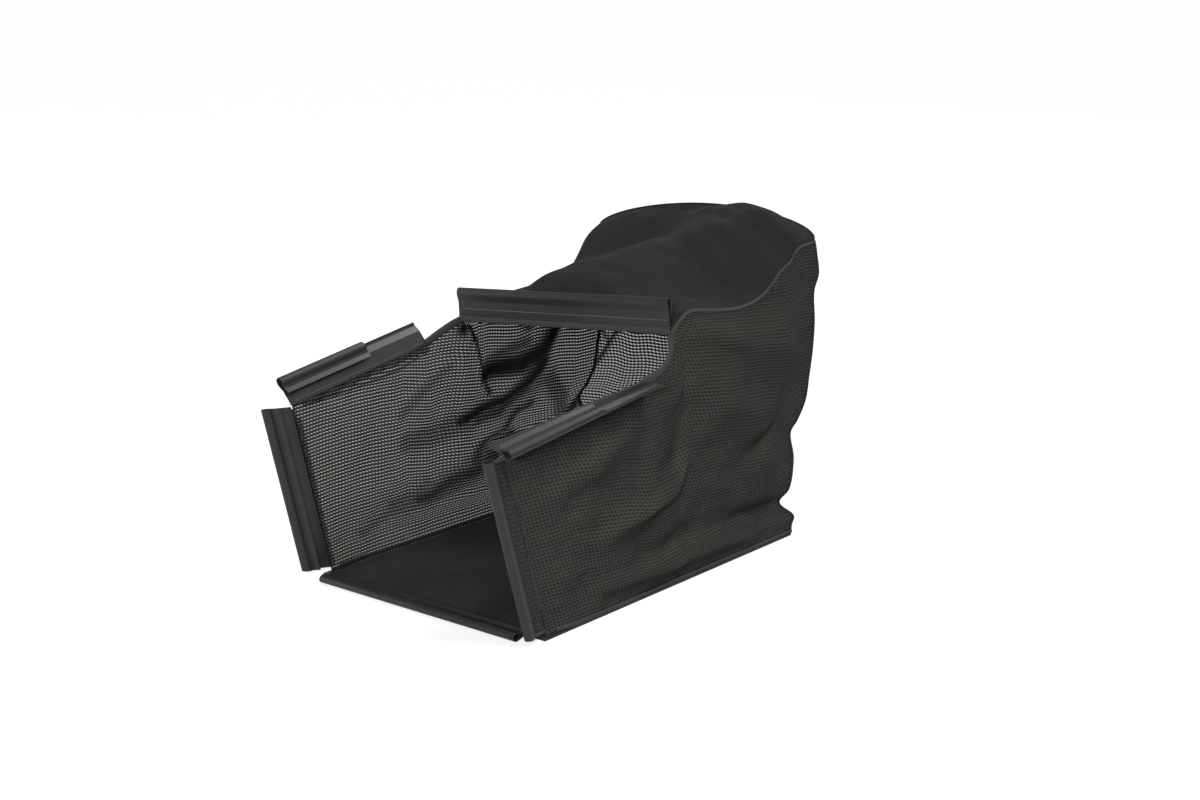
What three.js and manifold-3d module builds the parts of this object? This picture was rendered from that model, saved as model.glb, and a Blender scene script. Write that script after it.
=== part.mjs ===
// Grass collection bag of a walk-behind mower, in millimetres, +Z up.
// The bag stands on its floor panel: X runs across the mouth, +Y from the mouth to the back.
// Mesh panels are sewn to a vinyl floor and to six lengths of one plastic clip extrusion.

import * as THREE from 'three';
import { mergeVertices } from 'three/addons/utils/BufferGeometryUtils.js';
import Module from 'manifold-3d';

const wasm = await Module();
wasm.setup();

// Clearance between pieces that are sewn or seated on each other
const seat = 0.3;

// Bag
const bagWidth = 372;
const bagDepth = 545;
const rearHeight = { left: 390, right: 404 };
const rearLean = 40;
const crownRise = 40;
const roofCrown = 6;
const rearBulge = 16;
const sideBillow = 5;

// Fabric
const meshThickness = 1.4;
const floorThickness = 2.4;
const floorMargin = 3;
const floorCornerRadius = 10;
const floorFront = 22;
const floorBandHeight = 9;
const floorBandThickness = 1.6;
const hemWidth = 9;
const hemThickness = 1.2;
const bindingWidth = 7;
const bindingThickness = 2.6;

// Clip extrusion: a flat flange with a flattened tube curled along one edge
const clipWidth = 38;
const clipWall = 1.5;
const tubeHeight = 15;
const tubeDepth = 11;
const tubeStep = 2.5;
const lipReach = 23.5;
const edgeBead = 2.6;
const beadWidth = 2.4;

// Bottom clip
const bottomClipInset = 21;

// Clips at the two sides of the mouth, which lean forwards at the top
const postFoot = { left: 11, right: 8 };
const postHeight = 225;
const postForward = 61;
const postTurn = { left: 28, right: 8 };
const postOffset = { left: [9, 3], right: [1, -5] };

// Clips on the sloping rails; the tube is cut away behind its front length.
// A rail's sewn edge is given outwards, backwards and upwards from the head of the post's sewn edge.
const railTubeShare = 0.59;
const rimHeight = 3.4;
const rails = {
  left: { start: [-0.1, 1.1, 2], end: [17.3, 258.1, 35], lean: [33, 33] },
  right: { start: [-8.8, -17.2, 15], end: [6.2, 242.8, 43], lean: [105, 85] },
};

// Clip across the top of the mouth
const topClipInset = 13;
const topClipBack = { left: 266, right: 276 };
const topClipRise = { left: 111, right: 136 };
const topTapeWidth = 7.4;
const topTapeThickness = 2;

// Fineness of the panels
const railColumns = 10;
const bindingColumns = 6;
const seamColumns = 14;
const crossColumns = 20;
const panelRows = 14;
const roundSteps = 14;

const rad = THREE.MathUtils.degToRad;
const lerp = THREE.MathUtils.lerp;
const vec = (x, y, z) => new THREE.Vector3(x, y, z);

const halfWidth = bagWidth / 2;
const postTop = postFoot.right + postHeight;
const sides = { left: -1, right: 1 };
const panelFoot = floorThickness + seat + 0.1;
const stitchGap = seat + meshThickness / 2;

const clipPlastic = new THREE.MeshStandardMaterial({ color: 0x39393a, roughness: 0.42 });
const floorVinyl = new THREE.MeshStandardMaterial({ color: 0x1f1f20, roughness: 0.55 });
const meshCloth = new THREE.MeshStandardMaterial({ color: 0x2c2c2a, roughness: 0.95 });
const tapeCloth = new THREE.MeshStandardMaterial({ color: 0x1c1c1c, roughness: 0.9 });

const bag = new THREE.Group();

// The floor panel's middle is the origin, so every piece moves forward by this much
const floorHalf = halfWidth + floorMargin;
const floorBack = bagDepth + floorMargin + 1;
const floorMiddle = (floorFront + floorBack) / 2;

function addPiece(name, geometry, material) {
  const mesh = new THREE.Mesh(geometry.translate(0, -floorMiddle, 0), material.clone());
  mesh.name = name;
  bag.add(mesh);
}

function closedGeometry(positions, index) {
  const geometry = new THREE.BufferGeometry();
  geometry.setAttribute('position', new THREE.Float32BufferAttribute(positions, 3));
  geometry.setIndex(index);
  return geometry;
}

// Profile of the clip: s runs from the tube's outer bend to the sewn edge, n points away from the hook

function clipMidline() {
  const along = (tubeHeight - clipWall) / 2;
  const depth = (tubeDepth - clipWall) / 2;
  const centreS = tubeHeight / 2;
  const centreN = tubeStep - depth;
  const points = [
    { s: clipWidth, n: 0, half: edgeBead / 2 },
    { s: clipWidth - beadWidth, n: 0, half: edgeBead / 2 },
    { s: clipWidth - beadWidth - 0.6, n: 0, half: clipWall / 2 },
    { s: tubeHeight + 2.5, n: 0, half: clipWall / 2 },
  ];
  const firstTurn = rad(62);
  const lastTurn = rad(322);
  for (let step = 0; step <= roundSteps; step += 1) {
    const turn = lerp(firstTurn, lastTurn, step / roundSteps);
    points.push({
      s: centreS + along * Math.cos(turn),
      n: centreN + depth * Math.sin(turn),
      half: clipWall / 2,
    });
  }
  points.push({ s: tubeHeight + 2, n: centreN - depth * 0.55, half: clipWall / 2 });
  points.push({ s: lipReach, n: centreN - depth * 0.95, half: clipWall / 2 });
  return points;
}

function clipOutline() {
  const line = clipMidline();
  const near = [];
  const far = [];
  line.forEach((point, index) => {
    const before = line[Math.max(index - 1, 0)];
    const after = line[Math.min(index + 1, line.length - 1)];
    const run = new THREE.Vector2(after.s - before.s, after.n - before.n).normalize();
    near.push(new THREE.Vector2(point.s - run.y * point.half, point.n + run.x * point.half));
    far.push(new THREE.Vector2(point.s + run.y * point.half, point.n - run.x * point.half));
  });
  return near.concat(far.reverse());
}

// Solid between copies of one outline, each placed in its own frame along a line
function loftSection(outline, frames) {
  const caps = THREE.ShapeUtils.triangulateShape(outline, []);
  const size = outline.length;
  const positions = [];
  const index = [];
  frames.forEach(({ at, across, outward }) => outline.forEach((point) => {
    const placed = at.clone().addScaledVector(across, point.x).addScaledVector(outward, point.y);
    positions.push(...placed.toArray());
  }));
  const travel = frames[1].at.clone().sub(frames[0].at);
  const facing = frames[0].across.clone().cross(frames[0].outward).dot(travel);
  const forwards = facing * (THREE.ShapeUtils.isClockWise(outline) ? -1 : 1) > 0;
  const face = (a, b, c) => (forwards ? index.push(a, b, c) : index.push(a, c, b));
  const lastRing = (frames.length - 1) * size;
  caps.forEach(([a, b, c]) => {
    const upright = THREE.ShapeUtils.area([outline[a], outline[b], outline[c]]) > 0;
    const same = upright !== THREE.ShapeUtils.isClockWise(outline);
    const [p, q] = same ? [b, c] : [c, b];
    face(a, q, p);
    face(lastRing + a, lastRing + p, lastRing + q);
  });
  for (let ring = 0; ring < frames.length - 1; ring += 1) {
    for (let k = 0; k < size; k += 1) {
      const here = ring * size + k;
      const next = ring * size + ((k + 1) % size);
      face(here, next, next + size);
      face(here, next + size, here + size);
    }
  }
  return closedGeometry(positions, index);
}

// Solid from a grid of points, thickened to both sides along the grid's own normals

function gridNormals(grid) {
  const last = grid.length - 1;
  const end = grid[0].length - 1;
  return grid.map((row, i) => row.map((point, j) => {
    const alongRows = grid[Math.min(i + 1, last)][j].clone().sub(grid[Math.max(i - 1, 0)][j]);
    const alongRow = row[Math.min(j + 1, end)].clone().sub(row[Math.max(j - 1, 0)]);
    return alongRow.cross(alongRows).normalize();
  }));
}

function sheetSolid(grid, thickness, shift = 0) {
  const normals = gridNormals(grid);
  const rows = grid.length;
  const columns = grid[0].length;
  const positions = [];
  const index = [];
  [thickness / 2, -thickness / 2].forEach((offset) => {
    grid.forEach((row, i) => row.forEach((point, j) => {
      positions.push(...point.clone().addScaledVector(normals[i][j], shift + offset).toArray());
    }));
  });
  const id = (layer, i, j) => (layer * rows + i) * columns + j;
  const quad = (a, b, c, d) => index.push(a, b, c, a, c, d);
  for (let i = 0; i < rows - 1; i += 1) {
    for (let j = 0; j < columns - 1; j += 1) {
      quad(id(0, i, j), id(0, i, j + 1), id(0, i + 1, j + 1), id(0, i + 1, j));
      quad(id(1, i, j), id(1, i + 1, j), id(1, i + 1, j + 1), id(1, i, j + 1));
    }
    const end = columns - 1;
    quad(id(0, i, 0), id(0, i + 1, 0), id(1, i + 1, 0), id(1, i, 0));
    quad(id(0, i, end), id(1, i, end), id(1, i + 1, end), id(0, i + 1, end));
  }
  for (let j = 0; j < columns - 1; j += 1) {
    const end = rows - 1;
    quad(id(0, 0, j), id(1, 0, j), id(1, 0, j + 1), id(0, 0, j + 1));
    quad(id(0, end, j), id(0, end, j + 1), id(1, end, j + 1), id(1, end, j));
  }
  return closedGeometry(positions, index);
}

// Clips

const clipSection = clipOutline();

// Bottom clip: its flange lies on the floor panel's front edge, and its tube is the lip of the mouth
const bottomFlangeZ = floorThickness + seat + edgeBead / 2;
const bottomHalf = halfWidth - bottomClipInset;
const bottomFrames = [-bottomHalf, bottomHalf].map((x) => ({
  at: vec(x, -tubeHeight / 2, bottomFlangeZ),
  across: vec(0, 1, 0),
  outward: vec(0, 0, -1),
}));
addPiece('bottom_clip', loftSection(clipSection, bottomFrames), clipPlastic);

// Post clips: level ends, tube towards the front, flange turned in behind it
function postFrames(name) {
  const side = sides[name];
  const turn = rad(postTurn[name]);
  const across = vec(-side * Math.sin(turn), Math.cos(turn), 0);
  const outward = vec(side * Math.cos(turn), Math.sin(turn), 0);
  const foot = vec(side * (halfWidth + postOffset[name][0]), 0, postFoot[name]);
  const head = vec(side * (halfWidth + postOffset[name][1]), -postForward, postFoot[name] + postHeight);
  return [foot, head].map((middle) => ({
    at: middle.addScaledVector(across, -tubeHeight / 2),
    across,
    outward,
  }));
}

// Rail clips: the flange rises from its sewn edge to the bend, leaning outwards
function railFrame(name, share) {
  const side = sides[name];
  const rail = rails[name];
  const post = postFrames(name)[1];
  const head = post.at.addScaledVector(post.across, clipWidth);
  const ends = [rail.start, rail.end].map(([out, back, up]) => head.clone().add(vec(side * out, back, up)));
  const point = (t) => ends[0].clone().lerp(ends[1], t);
  const along = point(1).sub(point(0)).normalize();
  const lean = rad(lerp(rail.lean[0], rail.lean[1], share));
  const straightUp = vec(0, 0, 1).addScaledVector(along, -along.z).normalize();
  const sideways = along.clone().cross(straightUp).normalize().multiplyScalar(side);
  const toTube = straightUp.multiplyScalar(Math.cos(lean)).addScaledVector(sideways, Math.sin(lean));
  const outward = toTube.clone().cross(along).normalize().multiplyScalar(-side);
  const at = point(share).addScaledVector(toTube, clipWidth);
  return { at, across: toTube.negate(), outward };
}

const railShares = [0, 0.25, 0.5, 0.75, 1];
const cutShares = [railTubeShare, 0.7, 0.85, 1.05];

// Space cleared of the tube, down to a low rim along the flange's edge
const cutOutline = [
  new THREE.Vector2(rimHeight, tubeStep + clipWall),
  new THREE.Vector2(-clipWall, tubeStep + clipWall),
  new THREE.Vector2(-clipWall, -tubeDepth),
  new THREE.Vector2(lipReach + clipWall, -tubeDepth),
  new THREE.Vector2(lipReach + clipWall, -clipWall / 2 - 0.02),
  new THREE.Vector2(tubeHeight, -clipWall / 2 - 0.02),
  new THREE.Vector2(rimHeight, tubeStep - clipWall),
];

function toSolid(geometry) {
  const vertProperties = new Float32Array(geometry.attributes.position.array);
  const triVerts = new Uint32Array(geometry.index.array);
  return new wasm.Manifold(new wasm.Mesh({ numProp: 3, vertProperties, triVerts }));
}

function cutAway(body, tool) {
  const mesh = toSolid(body).subtract(toSolid(tool)).getMesh();
  return closedGeometry(Array.from(mesh.vertProperties), Array.from(mesh.triVerts));
}

Object.keys(sides).forEach((name) => {
  addPiece(`${name}_post_clip`, loftSection(clipSection, postFrames(name)), clipPlastic);
  const whole = loftSection(clipSection, railShares.map((share) => railFrame(name, share)));
  const tool = loftSection(cutOutline, cutShares.map((share) => railFrame(name, share)));
  addPiece(`${name}_rail_clip`, cutAway(whole, tool), clipPlastic);
});

// Top clip: flange towards the mouth, tube curled to the back
const topHalf = halfWidth - topClipInset;
const topEnds = Object.keys(sides).map((name) => vec(
  sides[name] * topHalf,
  topClipBack[name],
  postTop + topClipRise[name],
));
const topAlong = topEnds[1].clone().sub(topEnds[0]).normalize();
const topDown = vec(0, 0, -1).addScaledVector(topAlong, topAlong.z).normalize();
const topOutward = topDown.clone().cross(topAlong).normalize();
topOutward.multiplyScalar(-Math.sign(topOutward.y));
const topFrames = topEnds.map((at) => ({ at, across: topDown, outward: topOutward }));
addPiece('top_clip', loftSection(clipSection, topFrames), clipPlastic);

// Point on the top clip: share along it, distance below its top, distance in front of its flange
function onTopClip(share, below, before) {
  const at = topEnds[0].clone().lerp(topEnds[1], share);
  return at.addScaledVector(topDown, below).addScaledVector(topOutward, before);
}

const topTapeGrid = [0, 1].map((row) => [0, 0.25, 0.5, 0.75, 1].map((share) => (
  onTopClip(share, clipWidth + seat + (1 - row) * topTapeWidth, 0)
)));
addPiece('top_clip_tape', sheetSolid(topTapeGrid, topTapeThickness), tapeCloth);

// Seams between the panels, each a curve of shares from its start to its end

const roofStartBelow = clipWidth + seat + topTapeWidth;
const roofStartBehind = topTapeThickness / 2 + stitchGap + 0.1;
const seamRows = {
  left: [[0, 0], [0.05, 0.1], [0.11, 0.17], [0.3, 0.2], [0.6, 0.26], [0.79, 0.42], [0.915, 0.87], [1, 1]],
  right: [
    [0, 0], [0.04, 0.15], [0.1, 0.3], [0.27, 0.25], [0.43, 0.2], [0.57, 0.27],
    [0.66, 0.42], [0.73, 0.62], [0.81, 0.76], [0.86, 0.93], [1, 1],
  ],
};
const tuckRise = 0.12;
const rearRows = [
  [0, 0], [0.026, 1], [0.055, 6], [tuckRise, -22], [0.16, -8], [0.265, 1], [0.36, -8], [0.395, 8],
  [0.457, 27], [0.544, 35], [0.62, 41], [0.72, 44], [0.83, 41], [0.885, 51], [0.95, 46], [1, rearLean],
];

function rearCorner(name) {
  return vec(sides[name] * (halfWidth + 1), bagDepth + rearLean, rearHeight[name]);
}

function topSeam(name) {
  const share = name === 'left' ? 0 : 1;
  const start = onTopClip(share, roofStartBelow, -roofStartBehind);
  const end = rearCorner(name);
  const points = seamRows[name].map(([along, rise]) => {
    const out = Math.min(1, along * 4);
    return vec(lerp(start.x, end.x, out), lerp(start.y, end.y, along), lerp(start.z, end.z, rise));
  });
  return new THREE.CatmullRomCurve3(points, false, 'centripetal');
}

function rearSeam(name) {
  const points = rearRows.map(([rise, back]) => {
    const tuck = rise === tuckRise ? 6 : 0;
    const x = sides[name] * (halfWidth + rise - tuck);
    return vec(x, bagDepth + back, lerp(panelFoot, rearHeight[name], rise));
  });
  return new THREE.CatmullRomCurve3(points, false, 'centripetal');
}

function sewnLine(frames) {
  return frames.map(({ at, across }) => at.clone().addScaledVector(across, clipWidth + stitchGap));
}

const seams = {};
Object.keys(sides).forEach((name) => {
  seams[name] = { top: topSeam(name), rear: rearSeam(name) };
});

// Patch spanned by four edges that meet at their ends
function coons(bottom, top, start, end) {
  return (u, v) => {
    const point = bottom(u).multiplyScalar(1 - v).addScaledVector(top(u), v);
    point.addScaledVector(start(v), 1 - u).addScaledVector(end(v), u);
    point.addScaledVector(bottom(0), -(1 - u) * (1 - v)).addScaledVector(bottom(1), -u * (1 - v));
    return point.addScaledVector(top(0), -(1 - u) * v).addScaledVector(top(1), -u * v);
  };
}

// Smooth ridge or furrow along a line between two places on a panel, fading towards its ends
function crease(u, v, { from, to, width, height }) {
  const run = new THREE.Vector2(to[0] - from[0], to[1] - from[1]);
  const place = new THREE.Vector2(u - from[0], v - from[1]);
  const share = THREE.MathUtils.clamp(place.dot(run) / run.lengthSq(), 0, 1);
  const away = place.addScaledVector(run, -share).length() / width;
  return height * Math.exp(-away * away) * Math.sin(Math.PI * (0.15 + 0.7 * share));
}

function edgeFade(u, v) {
  const fade = (t) => THREE.MathUtils.smoothstep(t, 0, 0.08) * THREE.MathUtils.smoothstep(1 - t, 0, 0.08);
  return fade(u) * fade(v);
}

// Side panels: sewn to the post and the rail, bound at the corner of the mouth, then seamed to the roof

const sideFolds = {
  left: [
    { from: [0.33, 0.7], to: [0.5, 0.77], width: 0.05, height: -6 },
    { from: [0.14, 0.17], to: [0.39, 0.34], width: 0.05, height: 9 },
    { from: [0.35, 0.28], to: [0.69, 0.32], width: 0.045, height: -10 },
    { from: [0.4, 0.59], to: [0.72, 0.56], width: 0.05, height: 10 },
    { from: [0.7, 0.55], to: [0.81, 0.69], width: 0.05, height: -10 },
    { from: [0.62, 0.7], to: [0.83, 0.72], width: 0.045, height: 12 },
    { from: [0.88, 0.36], to: [0.96, 0.52], width: 0.045, height: -8 },
  ],
  right: [
    { from: [0.12, 0.675], to: [0.34, 0.81], width: 0.06, height: 8 },
    { from: [0.25, 0.38], to: [0.49, 0.52], width: 0.06, height: 9 },
    { from: [0.475, 0.76], to: [0.48, 0.52], width: 0.03, height: -7 },
    { from: [0.38, 0.27], to: [0.7, 0.25], width: 0.045, height: -8 },
    { from: [0.22, 0.16], to: [0.74, 0.14], width: 0.05, height: 6 },
    { from: [0.61, 0.74], to: [0.78, 0.54], width: 0.06, height: 9 },
    { from: [0.73, 0.49], to: [0.9, 0.48], width: 0.045, height: -8 },
    { from: [0.69, 0.275], to: [0.95, 0.2], width: 0.04, height: -11 },
    { from: [0.6, 0.92], to: [0.94, 0.66], width: 0.05, height: 7 },
    { from: [0.8, 0.36], to: [0.94, 0.38], width: 0.05, height: 8 },
  ],
};

// Share of a side panel's front edge that follows the post; the rest runs on to the rail
const postTurnShare = { left: 1, right: 0.945 };

// Where the mesh meets a rail's sewn edge: beyond the bead, or under it where the flange lies flat
const railStitch = {
  left: [stitchGap, 0],
  right: [-beadWidth / 2, edgeBead / 2 + seat + 0.3],
};

const railEndShare = 0.44;
const cornerShare = 0.52;

// How far the bound corner of the mouth bows backwards and upwards from a straight line
const cornerBow = { left: [6, 6], right: [40, -26] };

function sidePanel(name) {
  const side = sides[name];
  const postLine = sewnLine(postFrames(name));
  const postRun = postLine[1].clone().sub(postLine[0]);
  const [beyond, under] = railStitch[name];
  const railPoint = (t) => {
    const { at, across, outward } = railFrame(name, t);
    return at.addScaledVector(across, clipWidth + beyond).addScaledVector(outward, under);
  };
  const drop = vec(0, 0, -stitchGap - 1);
  const seamStart = seams[name].top.getPoint(0).add(drop);
  const bindingStart = railPoint(1);
  const bow = bindingStart.clone().lerp(seamStart, 0.6).add(vec(0, ...cornerBow[name]));
  const binding = new THREE.QuadraticBezierCurve3(bindingStart, bow, seamStart);
  const top = (u) => {
    if (u <= railEndShare) {
      return railPoint(u / railEndShare);
    }
    if (u <= cornerShare) {
      return binding.getPoint((u - railEndShare) / (cornerShare - railEndShare));
    }
    return seams[name].top.getPoint((u - cornerShare) / (1 - cornerShare)).add(drop);
  };
  const turnShare = postTurnShare[name];
  const foot = postLine[0].clone().addScaledVector(postRun, (panelFoot - postFoot[name]) / postHeight);
  const turn = turnShare < 1 ? postLine[1].clone().addScaledVector(postRun, 0.012) : top(0);
  const start = (v) => {
    if (v <= turnShare) {
      return foot.clone().lerp(turn, v / turnShare);
    }
    return turn.clone().lerp(top(0), (v - turnShare) / (1 - turnShare));
  };
  const end = (v) => {
    const shared = seams[name].rear.getPoint(v);
    return shared.add(vec(0, meshThickness / 2, v * drop.z));
  };
  const sole = new THREE.CatmullRomCurve3([
    start(0),
    vec(side * (halfWidth - 4), start(0).y + 18, panelFoot),
    vec(side * halfWidth, start(0).y + 48, panelFoot),
    vec(side * halfWidth, bagDepth / 2, panelFoot),
    end(0),
  ]);
  const patch = coons((u) => sole.getPointAt(u), top, start, end);
  const surface = (u, v) => {
    const folds = sideFolds[name].reduce((sum, fold) => sum + crease(u, v, fold), 0);
    const billow = sideBillow * Math.sin(Math.PI * u) * Math.sin(Math.PI * v);
    return patch(u, v).add(vec(side * (billow + edgeFade(u, v) * folds), 0, 0));
  };
  const rows = turnShare < 1 ? [...shares(0, turnShare, panelRows - 1), 1] : shares(0, 1, panelRows);
  return { surface, binding, rows };
}

function shares(from, to, steps) {
  return Array.from({ length: steps + 1 }, (_, step) => lerp(from, to, step / steps));
}

const sideColumns = [
  ...shares(0, railEndShare, railColumns),
  ...shares(railEndShare, cornerShare, bindingColumns).slice(1),
  ...shares(cornerShare, 1, seamColumns).slice(1),
];

// Rows run the other way round on the left, so that every panel's normals face out of the bag
function facing(name, columns) {
  return name === 'left' ? [...columns].reverse() : columns;
}

Object.keys(sides).forEach((name) => {
  const { surface, binding, rows: sideRows } = sidePanel(name);
  const patchGrid = (columns, rows) => rows.map((v) => facing(name, columns).map((u) => surface(u, v)));
  const outside = meshThickness / 2 + seat;
  addPiece(`${name}_side_panel`, sheetSolid(patchGrid(sideColumns, sideRows), meshThickness), meshCloth);

  const postRows = shares(0.04, 0.92, 6);
  const postHem = postRows.map((v) => {
    const edge = surface(0, v);
    const next = surface(sideColumns[1], v);
    return facing(name, [edge, edge.clone().lerp(next, hemWidth / edge.distanceTo(next))]);
  });
  addPiece(`${name}_post_hem`, sheetSolid(postHem, hemThickness, -outside - hemThickness / 2), tapeCloth);

  const railHemColumns = shares(0.03, railEndShare, railColumns - 1);
  const railHem = patchGrid(railHemColumns, [1 - hemWidth / postTop, 1]);
  addPiece(`${name}_rail_hem`, sheetSolid(railHem, hemThickness, -outside - hemThickness / 2), tapeCloth);

  const bandColumns = sideColumns.filter((u) => u > 0.1);
  const floorBand = patchGrid(bandColumns, [0, floorBandHeight / postTop]);
  addPiece(`${name}_floor_band`, sheetSolid(floorBand, floorBandThickness, outside + 0.2 + floorBandThickness / 2), tapeCloth);

  const bindingShares = [0.04, ...shares(0, 1, bindingColumns).slice(1, -1), 0.93];
  const bindingRow = (reach) => facing(name, bindingShares).map((t) => {
    const tangent = binding.getTangent(t);
    const beyond = vec(0, -tangent.z, tangent.y).normalize();
    return binding.getPoint(t).addScaledVector(beyond, reach);
  });
  const bindingGrid = [bindingRow(2 * seat), bindingRow(2 * seat + bindingWidth)];
  addPiece(`${name}_corner_binding`, sheetSolid(bindingGrid, bindingThickness), tapeCloth);
});

// Rear edge of the roof, arched over the back of the bag
function rearArch(u) {
  const point = rearCorner('left').lerp(rearCorner('right'), u);
  const arch = Math.sin(Math.PI * u) ** 0.5;
  return point.add(vec(0, rearBulge * arch, crownRise * arch));
}

// Rear panel, between the side panels and below the roof
const rearInset = stitchGap + 0.1;
const rearEdge = (name) => (v) => {
  const shared = seams[name].rear.getPoint(v);
  return shared.add(vec(-sides[name] * (rearInset + meshThickness / 2), 0, -v * 1.6));
};
const rearTop = (u) => {
  const inset = lerp(1, -1, u) * (rearInset + meshThickness / 2);
  return rearArch(u).add(vec(inset, 0, -1.6));
};
const rearFoot = (u) => rearEdge('left')(0).lerp(rearEdge('right')(0), u);
const rearFolds = [
  { from: [0.2, 0.9], to: [0.35, 0.2], width: 0.08, height: 10 },
  { from: [0.45, 0.15], to: [0.6, 0.75], width: 0.08, height: -11 },
  { from: [0.75, 0.85], to: [0.7, 0.25], width: 0.08, height: 11 },
];
const rearPatch = coons(rearFoot, rearTop, rearEdge('left'), rearEdge('right'));
const rearSurface = (u, v) => {
  const folds = rearFolds.reduce((sum, fold) => sum + crease(u, v, fold), 0);
  const bulge = rearBulge * Math.sin(Math.PI * u) * Math.sin(Math.PI * v);
  return rearPatch(u, v).add(vec(0, bulge + edgeFade(u, v) * folds, 0));
};
const crossShares = shares(0, 1, crossColumns).reverse();
const rearGrid = (rows) => rows.map((v) => crossShares.map((u) => rearSurface(u, v)));
addPiece('rear_panel', sheetSolid(rearGrid(shares(0, 1, panelRows)), meshThickness), meshCloth);
addPiece(
  'rear_floor_band',
  sheetSolid(
    rearGrid([0.005, floorBandHeight / rearHeight.left]),
    floorBandThickness,
    meshThickness / 2 + 1.5 * seat + floorBandThickness / 2,
  ),
  tapeCloth,
);

// Roof panel, from the top clip's tape over the crown to the rear arch

// Share of the roof behind the top clip over which its folds grow, clear of the clip's tube
const clipClearShare = 0.14;

const roofFront = (u) => onTopClip(u, roofStartBelow, -roofStartBehind);
const roofFolds = [
  { from: [0.33, 0.07], to: [0.77, 0.84], width: 0.2, height: 47 },
  { from: [0.12, 0.35], to: [0.42, 0.92], width: 0.1, height: -18 },
  { from: [0.6, 0.53], to: [0.87, 0.46], width: 0.06, height: -9 },
  { from: [0.9, 0.42], to: [0.98, 0.75], width: 0.06, height: -6 },
];
const roofPatch = coons(
  roofFront,
  rearArch,
  (v) => seams.left.top.getPoint(v),
  (v) => seams.right.top.getPoint(v),
);
const roofSurface = (u, v) => {
  const folds = roofFolds.reduce((sum, fold) => sum + crease(u, v, fold), 0);
  const crown = roofCrown * Math.sin(Math.PI * u) * Math.sin(Math.PI * v);
  const behindClip = THREE.MathUtils.smoothstep(v, 0, clipClearShare);
  return roofPatch(u, v).add(vec(0, 0, crown + behindClip * edgeFade(u, v) * folds));
};
const roofGrid = shares(0, 1, panelRows).map((v) => shares(0, 1, crossColumns).map((u) => roofSurface(u, v)));
addPiece('roof_panel', sheetSolid(roofGrid, meshThickness), meshCloth);

// Floor panel
const floorShape = new THREE.Shape();
floorShape.moveTo(-floorHalf, floorFront);
floorShape.lineTo(floorHalf, floorFront);
floorShape.lineTo(floorHalf, floorBack - floorCornerRadius);
floorShape.absarc(floorHalf - floorCornerRadius, floorBack - floorCornerRadius, floorCornerRadius, 0, Math.PI / 2);
floorShape.lineTo(-floorHalf + floorCornerRadius, floorBack);
floorShape.absarc(-floorHalf + floorCornerRadius, floorBack - floorCornerRadius, floorCornerRadius, Math.PI / 2, Math.PI);
const floorSolid = new THREE.ExtrudeGeometry(floorShape, {
  depth: floorThickness,
  bevelEnabled: false,
  curveSegments: 5,
});
floorSolid.deleteAttribute('uv');
floorSolid.deleteAttribute('normal');
addPiece('floor_panel', mergeVertices(floorSolid, 1e-4), floorVinyl);

export default bag;
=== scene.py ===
# %% [markdown]
# # Grass collection bag of a walk-behind mower
#
# The real bag is sewn from knitted mesh round a sheet of black vinyl. Six lengths of one plastic
# extrusion, shaped like a flattened hook, clip the mouth to the mower's wire frame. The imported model
# holds the solids of all of it. This lesson loads them, keeps the plastic clips and the vinyl floor
# as they are, and makes the cloth again as thin sheets with folds, seams and a knitted finish.

import math

import bpy
import numpy as np
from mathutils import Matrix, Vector


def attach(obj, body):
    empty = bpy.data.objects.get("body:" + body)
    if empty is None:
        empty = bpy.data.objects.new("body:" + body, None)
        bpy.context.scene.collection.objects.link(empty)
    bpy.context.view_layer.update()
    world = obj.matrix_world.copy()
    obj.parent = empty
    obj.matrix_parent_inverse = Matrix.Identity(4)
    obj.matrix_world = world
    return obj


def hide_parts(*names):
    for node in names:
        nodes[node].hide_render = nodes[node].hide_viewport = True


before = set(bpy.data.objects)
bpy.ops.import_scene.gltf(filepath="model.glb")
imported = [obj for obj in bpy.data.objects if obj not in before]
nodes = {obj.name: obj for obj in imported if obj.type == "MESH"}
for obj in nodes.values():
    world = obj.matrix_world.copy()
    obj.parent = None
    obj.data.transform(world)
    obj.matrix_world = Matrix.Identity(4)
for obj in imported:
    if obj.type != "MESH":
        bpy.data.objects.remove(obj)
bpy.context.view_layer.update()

# %% [markdown]
# The sheets follow the same seams as the solids, so they need the bag's main sizes. Everything here
# is in metres: X across the mouth, +Y from the mouth to the back, +Z up, with the origin in the
# middle of the floor.

# %% Main sizes
MM = 0.001
FLOOR_MIDDLE = 285.5 * MM
HALF_WIDTH_MM = 186
HALF_WIDTH = HALF_WIDTH_MM * MM
BAG_DEPTH = 545 * MM
REAR_LEAN = 40 * MM
REAR_HEIGHT = {"left": 390 * MM, "right": 404 * MM}
CROWN_RISE = 40 * MM
ROOF_CROWN = 6 * MM
REAR_BULGE = 16 * MM
SIDE_BILLOW = 5 * MM
PANEL_FOOT = 2.8 * MM
SEAM_GAP = 0.4 * MM
SIDES = {"left": -1.0, "right": 1.0}


def place(x, y, z):
    """A point in metres, given in millimetres from the middle of the bottom clip."""
    return np.array([x * MM, y * MM - FLOOR_MIDDLE, z * MM])


# %% [markdown]
# A seam in cloth runs smoothly through the few places where it is known. A Catmull-Rom curve does
# that: each stretch is a cubic whose slope at a point comes from the points on both sides of it.

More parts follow.
